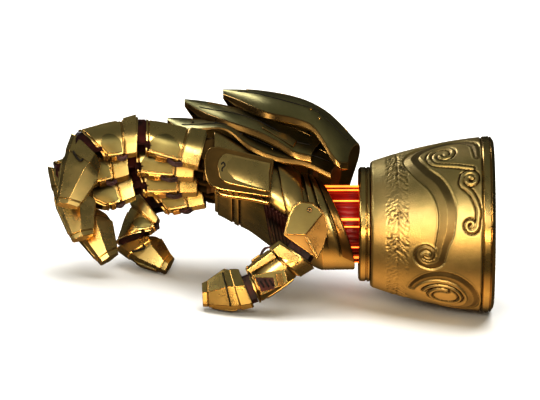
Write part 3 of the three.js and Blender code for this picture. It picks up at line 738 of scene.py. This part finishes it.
def back_plates():
    for plate, (_, rows) in PLATES.items():
        ends = (rows[0, 0], rows[-1, 0])
        # plate faces take the darker copy of the gold: painted shade
        make(f"{plate}_face", *plate_sheet(plate, ends, (-1, 1), -PLATE_THICKNESS, 0), HAND, "olive",
             bevel=0.5, replaces=[plate])
        for side, word in ((-1, "thumb"), (1, "far")):
            # rims take the brown copy of the gold: painted reflection of the warm floor and painted shade
            make(f"{plate}_rim_{word}_side", *plate_rim(plate, side), HAND, "brown", bevel=0.55)
            first, last = ends[0] + 14, ends[1] - 6
            seam = [(x, side * (0.80 + 0.06 * math.sin(x / 15))) for x in np.linspace(first, last, 9)]
            make(f"{plate}_seam_{word}_side", *plate_line(plate, seam, 0.45, 0.15), HAND, "dark")
            crease = [(x, side * 0.42) for x in np.linspace(first + 8, last - 4, 9)]
            make(f"{plate}_crease_{word}_side", *plate_line(plate, crease, 0.5, 0.1), HAND, "edge")
    leaf = [(-8, -0.93), (18, -0.80), (28, -0.86), (24, -0.97)]
    make("back_plate_mid_leaf", *plate_patch("back_plate_mid", leaf, -0.5, 2.0), HAND, "olive", bevel=0.9)
    for plate, spots in (("back_plate_low", [(-72, -0.75), (-50, -0.78), (-27, -0.86), (2, -0.86)]),
                         ("back_plate_top", [(38, -0.86), (46, -0.9)])):
        for i, (x, t) in enumerate(spots):
            stud = [plate_point(plate, x, t, h) for h in (-0.5, 0.9)]
            make(f"{plate}_stud_{i + 1}", *pipe(stud, 1.5, 16), HAND, "dark" if "low" in plate else "edge",
                 bevel=0.3)


# ---- segments

UNDERCUT = 1.75  # height of the slanting underside, in chamfers
SIDE_BULGE = 2.6  # how far the sides curve out at mid height
BODY, WAIST = 0.93, 0.87  # of the section, behind the collar and at the far end


def profile(size, scale=1.0, inset=0.0):
    """The section of a segment: crowned top, curved sides and deep slanting undersides."""
    w, t = size["width"] * scale - inset, size["top"] * scale - inset
    b, c = size["bottom"] * scale + inset, size["chamfer"] * scale - inset * 0.5
    fold = b + c * UNDERCUT
    half = [(w - c, t - 0.6)]
    for share in (-1, -0.67, -0.33, 0, 0.33, 0.67, 1):
        z = (t - c) * (1 - share) / 2 + fold * (1 + share) / 2
        half.append((w - SIDE_BULGE * share * share, z))
    half.append((w - c * 1.35, b))
    return [(0, t), *half, (0, b), *[(-y, z) for y, z in half[::-1]]]


def across(section, x, lean=0.0):
    """A section placed at x, with a lean along the segment."""
    return [(x + z * lean, y, z) for y, z in section]


def scaled(size, factor):
    """The sizes of a section times a factor."""
    return {key: value * factor for key, value in size.items()}


def mitre(bend, gap):
    """Where a slanted end lies from its hinge, and its slope."""
    half = math.radians(bend) / 2
    return gap / 2 / math.cos(half), math.tan(half)


def side_point(size, scale, x, z, lift, side):
    """A point on a segment's side at height z, following the slanting underside below the fold."""
    w, b, c = size["width"] * scale, size["bottom"] * scale, size["chamfer"] * scale
    fold = b + c * UNDERCUT
    middle, reach = (size["top"] * scale - c + fold) / 2, (size["top"] * scale - c - fold) / 2
    if z >= fold:
        y = w - SIDE_BULGE * ((z - middle) / reach) ** 2
    else:
        share = (fold - z) / (c * UNDERCUT)
        y = w - SIDE_BULGE - share * (c * 1.35 - SIDE_BULGE)
    return (x, side * (y + lift), z)


def segment(name, place, body, size, wall, length, start, end, nodes, plain_side=0):
    """A hollow segment: hooded collar, groove and tapered body with side panels, top strip and keel."""
    (first, lean), (tail_gap, tail_lean) = start, end
    collar = first + length * COLLAR_SHARE
    last = length - tail_gap
    half = -lean * 0.5
    run = last - collar

    def scale_at(x):
        t = max(0.0, min(1.0, (x - collar - 2) / (run - 4)))
        return BODY + (WAIST - BODY) * t + 0.035 * math.sin(math.pi * t)
    rows = [(first, 0.95, -lean), (first + 1.4, 0.985, -lean), (collar - 1.0, 0.985, half),
            (collar + 0.2, 0.95, half), (collar + 0.6, 0.89, half), (collar + 1.4, 0.89, half),
            (collar + 2.0, BODY, half)]
    for t in (0.2, 0.4, 0.6, 0.8):
        x = collar + 2 + t * (run - 5.4)
        rows.append((x, scale_at(x), half + (tail_lean - half) * t))
    rows += [(last - 3.4, WAIST + 0.01, tail_lean), (last - 2.9, WAIST - 0.03, tail_lean),
             (last - 2.3, WAIST - 0.03, tail_lean), (last - 1.8, WAIST + 0.02, tail_lean),
             (last, WAIST + 0.01, tail_lean)]

    def add(part, shape, look, bevel=0.0, **extra):
        make(f"{name}_{part}", *shape, place, look, body, bevel=bevel, **extra)
    outer = [across(profile(size, scale), x, slope) for x, scale, slope in rows]
    inner = [across(profile(size, 0.985, wall), first, -lean),
             across(profile(size, 0.985, wall), first + 3, -lean),
             across(profile(size, WAIST + 0.01, wall), last, tail_lean)]
    add("shell", stitched(outer + inner[::-1], closed=True), "gold", 0.5, replaces=nodes)

    # the hood over the collar: a thicker cap that ends at the folds
    def hood(lift):
        made = []
        for t in (0, 0.12, 0.55, 1):
            slope = -lean + (half + lean) * t
            section = profile(size, 0.985)
            fold = section[8][1]
            around = [(-y, z) for y, z in section[1:9][::-1]] + [section[0]] + section[1:9]
            row = []
            for y, z in around:
                away = math.hypot(y, z)
                high = (z - fold) / (size["top"] - fold)
                grow = lift * (1 - 0.5 * t) * (0.1 + 0.9 * max(0.0, high) ** 2.2)
                row.append((first + 1.8 + t * (collar - first - 3.1) + z * slope,
                            y * (1 + grow / away), z * (1 + grow / away)))
            made.append(row)
        return made
    add("hood", sheet(hood(2.7), hood(-1.0)), "gold", 0.6)

    # lens-shaped panels low on both sides, over the fold, in the darkest copy of the gold: painted shade
    fold = size["bottom"] * 0.93 + size["chamfer"] * UNDERCUT
    for side, word in ((1, "left"), (-1, "right")):
        if side == plain_side:
            continue

        def lens(lift, side=side):
            made = []
            for t in np.linspace(0, 1, 15):
                x = collar + 2.8 + t * (run - 7.2)
                lean_here = half + (tail_lean - half) * t
                bow = math.sin(math.pi * t) ** 0.85
                scale = scale_at(x)
                low = size["bottom"] * scale + 1.6
                spots = [fold + 0.4 + 10.5 * bow, fold + 7 * bow, fold + 3.5 * bow, fold,
                         (fold + low) / 2, low]
                made.append([side_point(size, scale, x + z * lean_here, z, lift, side) for z in spots])
            return made
        add(f"lens_{word}", sheet(lens(1.2), lens(-0.9)), "leaf", 0.6)

    # a strip along the top
    a, b = size["width"] - size["chamfer"] - 0.6, size["width"] * WAIST - size["chamfer"] - 0.4
    steps = np.linspace(collar + 3.0, last - 4, 9)

    def strip(lift):
        made = []
        for x in steps:
            wide = a + (b - a) * (x - steps[0]) / (steps[-1] - steps[0])
            top = size["top"] * scale_at(x) + lift
            made.append([(x + top * half * 0.4, -wide, top - 0.3), (x, 0, top + 0.3), (x, wide, top - 0.3)])
        return made
    add("top_strip", sheet(strip(0.9), strip(-1.2)), "gold", 0.45)

    # the keel under the body, and cables in a loop between the collar and the keel
    low = size["bottom"] * 0.9
    under_start, under_end = collar + low * half, last + low * tail_lean
    under = under_end - under_start
    keel_start, keel_end = under_start + under * 0.36, under_start + under * 0.74
    wide = size["width"] * 0.42
    keel = [[(keel_start - 1.5, y, low + 1), (keel_start + 1, y, low - 2.4), (keel_end - 1.6, y, low - 2.4),
             (keel_end + 0.5, y, low + 1)] for y in (-wide, wide)]
    add("keel", stitched(keel), "edge", 0.5)
    foot = [[(under_end - 3.8, y, low + 1.8), (under_end - 3.4, y, low - 0.6),
             (under_end - 1.6, y, low - 0.6), (under_end - 1.0, y, low + 1.8)]
            for y in (-wide * 1.2, wide * 1.2)]
    add("end_bar", stitched(foot), "edge", 0.4)
    for i, y in enumerate((-3.4, 0.0, 3.4)):
        route = curve_through([(under_start - 5, y, low + 0.8), (under_start - 0.5, y * 1.2, low - 2.0),
                               (under_start + under * 0.17, y * 1.3, low - 2.8 - 0.4 * i),
                               (keel_start + 1.5, y, low)], 6)
        add(f"cable_{i + 1}", pipe(route, 0.85, 10), "cable")


def claw_section(size, wide, tall, deep, ridge):
    """An eight-sided section whose sides meet in a ridge at the height `ridge`."""
    w, t, b = size["width"] * wide, size["top"] * tall, size["bottom"] * deep
    return [(w, ridge), (w * 0.74, t * 0.78), (w * 0.42, t),
            (-w * 0.42, t), (-w * 0.74, t * 0.78), (-w, ridge), (-w * 0.42, b), (w * 0.42, b)]


def claw(name, place, body, size, wall, length, start, nodes, ridge=(-10, -8, -5, 0), tip=(0.5, 0.56),
         seam=False):
    """The last segment, with a brow, a ridge along each side and a hook or a seam marked on each."""
    first, lean = start
    brow = first + length * 0.22
    widest = first + (length - first) * 0.4
    sections = [
        (first, 0.93, 0.93, 0.96, ridge[0], -lean), (first + 1.5, 0.97, 0.97, 1, ridge[0], -lean),
        (brow, 1, 1, 1.04, ridge[1], -lean * 0.6), (brow + 0.6, 0.96, 0.95, 1.0, ridge[1], -lean * 0.55),
        (widest, 0.97, 0.96, 1.10, ridge[2], -lean * 0.25),
        (length - 5.6, tip[0] + 0.07, tip[1] + 0.08, tip[1] + 0.12, ridge[3], 0.1),
        (length - 5.0, tip[0] + 0.01, tip[1] + 0.02, tip[1] + 0.06, ridge[3], 0.1),
        (length - 4.3, tip[0] + 0.05, tip[1] + 0.05, tip[1] + 0.08, ridge[3], 0.1),
        (length, tip[0], tip[1], tip[1], ridge[3], 0.1),
    ]

    def rings(rows):
        return [across(claw_section(size, a, b, c, r), x, s) for x, a, b, c, r, s in rows]

    def add(part, shape, look, bevel=0.0, **extra):
        make(f"{name}_{part}", *shape, place, look, body, bevel=bevel, **extra)
    thin = 1 - wall / size["width"]
    hollow = [(first, 0.93 * thin, 0.93 * thin, 0.93 * thin, ridge[0], -lean),
              (widest, 0.9 * thin, 0.9 * thin, 1.0 * thin, ridge[2], -lean * 0.25),
              (length - 8, (tip[0] + 0.08) * 0.7, (tip[1] + 0.07) * 0.7, (tip[1] + 0.1) * 0.7, ridge[3], 0.1)]
    add("shell", stitched(rings(hollow)[::-1] + rings(sections)), "gold", 0.6, replaces=nodes)

    # a raised blade down the back, and a hook mark or a seam on each side
    def back_height(x):
        if x < widest:
            return size["top"] * 0.96
        return size["top"] * (0.96 + (tip[1] + 0.08 - 0.96) * (x - widest) / (length - 5.6 - widest))

    def blade(lift):
        made = []
        for x, wide in ((brow + 1.5, 4.4), (widest, 4.6), (length - 16, 3.8), (length - 7.5, 2.6)):
            made.append([(x, -wide, back_height(x) + lift), (x + 1.2, 0, back_height(x) + lift + 0.3),
                         (x, wide, back_height(x) + lift)])
        return made
    # the blade on top takes the darker copy of the gold: painted shade
    add("blade", sheet(blade(0.7), blade(-1.2)), "olive", 0.4)
    for side, word in ((1, "left"), (-1, "right")):
        w = size["width"] * side
        if seam:
            line = [(widest + 0.5, w * 0.76, 14), (widest + 1.5, w * 0.97, ridge[2]),
                    (widest + 3.5, w * 0.5, -18)]
            add(f"seam_{word}", pipe(line, 0.55, 8), "dark")
        else:
            hook = curve_through([(brow - 4, w * 0.86, 10), (brow + 0.5, w * 0.9, 5.5),
                                  (brow + 3.5, w * 0.95, 1.0), (brow + 1.2, w * 0.96, -1.0)], 6)
            add(f"hook_{word}", pipe(hook, 0.9, 8), "dark")


def hinge_places(base, bends, lengths):
    """The frame at each hinge of a finger."""
    places = []
    for bend, length in zip(bends, lengths):
        base = base @ turn("Y", bend)
        places.append(base)
        base = base @ move(length, 0, 0)
    return places


def fingers():
    for finger, facts in FINGERS.items():
        base = HAND @ move(*facts["at"]) @ turn("Z", 180 + facts["splay"])
        places = hinge_places(base, facts["bends"], facts["lengths"])
        size = scaled(SEGMENT, facts["scale"])
        for i, part in enumerate(("proximal", "middle")):
            start = mitre(facts["bends"][i], HINGE_GAP[i]) if i else (SEGMENT_START, 0.0)
            end = mitre(facts["bends"][i + 1], HINGE_GAP[i + 1])
            segment(f"{finger}_{part}", places[i], f"{finger}_{i + 1}", size, WALL, facts["lengths"][i],
                    start, end, [f"{finger}_{part}"])
        claw(f"{finger}_claw", places[2], f"{finger}_3", size, WALL, facts["lengths"][2],
             mitre(facts["bends"][2], HINGE_GAP[2]), [f"{finger}_claw"])


def thumb():
    base = ARM @ move(*THUMB_AT) @ turn("Y", 180 - THUMB_PITCH)
    places = hinge_places(base, THUMB_BENDS, THUMB_LENGTHS)
    size = THUMB_SIZE
    # first segment: a faceted head on the hinge and a short body
    gap, lean = mitre(THUMB_BENDS[1], THUMB_GAPS[1])
    last = THUMB_LENGTHS[0] - gap
    w = size["width"]
    outline = [(last + 18 * lean, 18), (22, 20.5), (6, 20), (-7.5, 12), (-14, -1), (-11.8, -12.4),
               (-5.4, -17.3), (3, -19), (12, -19), (last - 18 * lean, -18)]

    def plate(part, spots, low, high, look, bevel, at=2, **extra):
        """A plate on the outer side of the thumb's first or second segment."""
        shape = slab(spots, low, high, lambda u, v, h: (u, -h, v))
        make(f"thumb_{part}", *shape, places[at - 1], look, f"thumb_{at}", bevel=bevel, **extra)
    plate("root_shell", outline, -w, w, "brown", 0.8, at=1, replaces=["thumb_base"])
    facet = [(last - 1.2 - 17 * lean, -17), (12, -18.2), (3, -18.2), (-5, -16.6), (-11.2, -12), (-13, -1.2),
             (-7, 11), (17, 1.2)]
    plate("root_facet", facet, w - 1, w + 1.6, "leaf", 0.9, at=1)
    bar = [(17.4, 3.2), (19.4, 1.4), (last + 15.5 * lean - 1, 15.5), (last + 17.5 * lean - 3, 17.2)]
    plate("root_bar", bar, w - 1, w + 1.7, "edge", 0.6, at=1)
    rings = []
    for i in range(24):
        angle = 2 * math.pi * i / 24
        rings.append([(-6.5 + r * math.cos(angle), -y, -2 + r * math.sin(angle))
                      for r, y in ((0.01, w), (2.6, w), (2.6, w + 2.1), (1.5, w + 2.3), (0.01, w + 1.6))])
    make("thumb_root_pivot", *stitched(rings, closed=True), places[0], "dark", "thumb_1", bevel=0.2)

    segment("thumb_middle", places[1], "thumb_2", size, THUMB_WALL, THUMB_LENGTHS[1],
            mitre(THUMB_BENDS[1], THUMB_GAPS[1]), mitre(THUMB_BENDS[2], THUMB_GAPS[2]), ["thumb_middle"],
            plain_side=-1)
    side = w * 0.93
    window = [(33.5, 5.5), (47.6, -5.4), (50.8, 9.6), (38.5, 15)]
    frame_outline = [(21, 5.5), (47.5, -8), (52.5, 12), (26, 17)]
    plate("window_frame", frame_outline, side - 1.4, side + 0.6, "leaf", 0.6)
    plate("window", window, side, side + 0.9, "red", 0.3)
    for i, share in enumerate((0.2, 0.5, 0.8)):
        low, high = [np.array(p, float) for p in ((36, 13), (35.5, 6))]
        step = np.array([12.5, -6.5]) * share
        a, b = low + step, high + step
        make(f"thumb_window_rib_{i + 1}", *pipe([(a[0], -side - 1.0, a[1]), (b[0], -side - 1.0, b[1])], 0.8),
             places[1], "dark", "thumb_2")
    rib = [(25.5, 7), (30.5, 4), (35, 14.6), (30.5, 17)]
    plate("rib", rib, side - 1, side + 2.4, "edge", 0.5)
    cover = [(10.2, -15.6), (3.5, 5), (8.5, 8.6), (19, -7), (19, -15.6)]
    plate("cover", cover, side - 1, side + 1.8, "gold", 0.8)
    ridge = [(20.5, -7.5), (20.5, -15), (50, -15), (48.5, -10.5)]
    plate("upper_panel", ridge, side - 1.6, side + 0.6, "gold", 0.7)
    claw("thumb_claw", places[2], "thumb_3", size, THUMB_WALL, THUMB_LENGTHS[2],
         mitre(THUMB_BENDS[2], THUMB_GAPS[2]), ["thumb_claw"], ridge=(-3, -3.5, -4, -2), seam=True)


def thumb_bellows():
    """Red ribs in the web between the thumb and the palm."""
    for i in range(7):
        share = i / 6
        start = palm_point(1.55 + 0.55 * share, 14.4, 1.5)
        middle = palm_point(1.62 + 0.55 * share, 16.2, 3.2)
        end = palm_point(1.72 + 0.55 * share, 18.6, 1.5)
        make(f"thumb_bellows_{i + 1}", *pipe(curve_through([start, middle, end], 10), 2.1, 12), HAND, "red")


# ---- carried-over nodes, stage, camera

def finish_carried_nodes():
    for name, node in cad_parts.items():
        if node.hide_render:
            continue
        # carried-over nodes take the darker copy of the gold (painted shade), the first knuckles the brown
        # copy (painted reflection and shade)
        look = "olive"
        if "_knuckle_" in name or name == "thumb_mount":
            look = "brown" if name.endswith("_knuckle_1") else "red"
        node.data.materials.clear()
        node.data.materials.append(LOOKS[look])


def area_light(name, place, target, size, power, colour=(1, 1, 1), mirrored=True):
    """A soft light; one that isn't mirrored only lights the floor and other dull surfaces."""
    data = bpy.data.lights.new(name, "AREA")
    data.shape = "RECTANGLE"
    data.size, data.size_y = size
    data.energy = power
    data.color = colour
    light = bpy.data.objects.new(name, data)
    light.location = place
    light.rotation_euler = (Vector(target) - Vector(place)).to_track_quat("-Z", "Y").to_euler()
    light.visible_glossy = mirrored
    bpy.context.scene.collection.objects.link(light)


FLOOR_RADIUS, FLOOR_HEIGHT, FLOOR_TURNS = 14.0, -0.0002, 96  # metres; just under the part
CAMERA_DISTANCE = 5573  # from the point that it looks at
CAMERA_LENS, CAMERA_SENSOR = 400, 36
CAMERA_TARGET = (0, 0, 22.3)  # in the arm's frame
VIEW_GAMMA, VIEW_EXPOSURE = 0.82, 0.12


def studio():
    middle = (cad_box[0] + cad_box[1]) / 2
    floor = bpy.data.meshes.new("floor")
    points = [(FLOOR_RADIUS * math.cos(2 * math.pi * i / FLOOR_TURNS),
               FLOOR_RADIUS * math.sin(2 * math.pi * i / FLOOR_TURNS), FLOOR_HEIGHT)
              for i in range(FLOOR_TURNS)]
    floor.from_pydata(points, [], [tuple(range(FLOOR_TURNS))])
    material, nodes, links, shader, place = node_tree("pale_floor")
    shader.inputs["Roughness"].default_value = 0.7
    patches = noise(nodes, links, place, 1.5)
    links.new(ramp(nodes, links, patches, [(0.3, (0.86, 0.86, 0.85)), (0.7, (0.9, 0.9, 0.89))]),
              shader.inputs["Base Color"])
    floor.materials.append(material)
    ground = bpy.data.objects.new("floor", floor)
    ground.visible_glossy = False
    bpy.context.scene.collection.objects.link(ground)

    area_light("overhead", (0.1, 0.3, 2.2), middle, (2.4, 2.4), 92, mirrored=False)
    area_light("key", (-0.45, -1.7, 0.95), middle, (0.34, 0.5), 9.5, (1.0, 0.94, 0.80))
    area_light("strip", (0.62, -1.6, 0.85), middle, (0.22, 0.9), 9, (1.0, 0.93, 0.78))
    area_light("low", (-0.25, -1.5, 0.10), middle, (1.0, 0.14), 8, (1.0, 0.70, 0.38))
    area_light("left", (-1.6, -0.5, 0.6), middle, (0.3, 0.9), 5, (1.0, 0.95, 0.84))
    area_light("rim", (-0.9, 1.3, 0.9), middle, (0.5, 0.8), 8, (0.95, 0.97, 1.0))

    world = bpy.data.worlds.new("studio")
    world.use_nodes = True
    tree = world.node_tree
    tree.nodes.clear()
    seen = tree.nodes.new("ShaderNodeBackground")
    seen.inputs["Color"].default_value = (0.9, 0.9, 0.9, 1)
    seen.inputs["Strength"].default_value = 1.0
    lit = tree.nodes.new("ShaderNodeBackground")
    direction = tree.nodes.new("ShaderNodeTexCoord")
    parts = tree.nodes.new("ShaderNodeSeparateXYZ")
    tree.links.new(direction.outputs["Generated"], parts.inputs[0])
    level = mapped(tree.nodes, tree.links, parts.outputs["Z"], -1, 1, 0, 1)
    sky = ramp(tree.nodes, tree.links, level, [
        (0.0, (0.95, 0.62, 0.29)), (0.045, (0.62, 0.38, 0.17)), (0.12, (0.07, 0.06, 0.035)),
        (0.24, (0.05, 0.04, 0.025)), (0.37, (0.15, 0.10, 0.05)), (0.46, (0.04, 0.033, 0.025)),
        (0.54, (0.016, 0.016, 0.014)), (0.72, (0.06, 0.061, 0.05)), (0.95, (0.15, 0.155, 0.13))])
    tree.links.new(sky, lit.inputs["Color"])
    lit.inputs["Strength"].default_value = 1.0
    path = tree.nodes.new("ShaderNodeLightPath")
    blend = tree.nodes.new("ShaderNodeMixShader")
    out = tree.nodes.new("ShaderNodeOutputWorld")
    tree.links.new(path.outputs["Is Camera Ray"], blend.inputs[0])
    tree.links.new(lit.outputs[0], blend.inputs[1])
    tree.links.new(seen.outputs[0], blend.inputs[2])
    tree.links.new(blend.outputs[0], out.inputs[0])
    bpy.context.scene.world = world


def camera():
    data = bpy.data.cameras.new("camera")
    data.sensor_width = CAMERA_SENSOR
    data.lens = CAMERA_LENS
    data.clip_end = 50
    eye = bpy.data.objects.new("camera", data)
    right, ahead, up = [ARM.to_3x3() @ Vector(axis) for axis in ((1, 0, 0), (0, 1, 0), (0, 0, 1))]
    at = (ARM @ Vector(CAMERA_TARGET) - ahead * CAMERA_DISTANCE) * MM
    matrix = Matrix((right, up, -ahead)).transposed().to_4x4()
    matrix.translation = at
    eye.matrix_world = matrix
    bpy.context.scene.collection.objects.link(eye)
    bpy.context.scene.camera = eye


camera()
studio()
bpy.context.scene.view_settings.view_transform = "Standard"
bpy.context.scene.view_settings.gamma = VIEW_GAMMA
bpy.context.scene.view_settings.exposure = VIEW_EXPOSURE
cuff_shell()
cuff_trims()
wrist_core()
hand_shell()
palm_panels()
index_cheek()
back_plates()
fingers()
thumb()
thumb_bellows()
finish_carried_nodes()
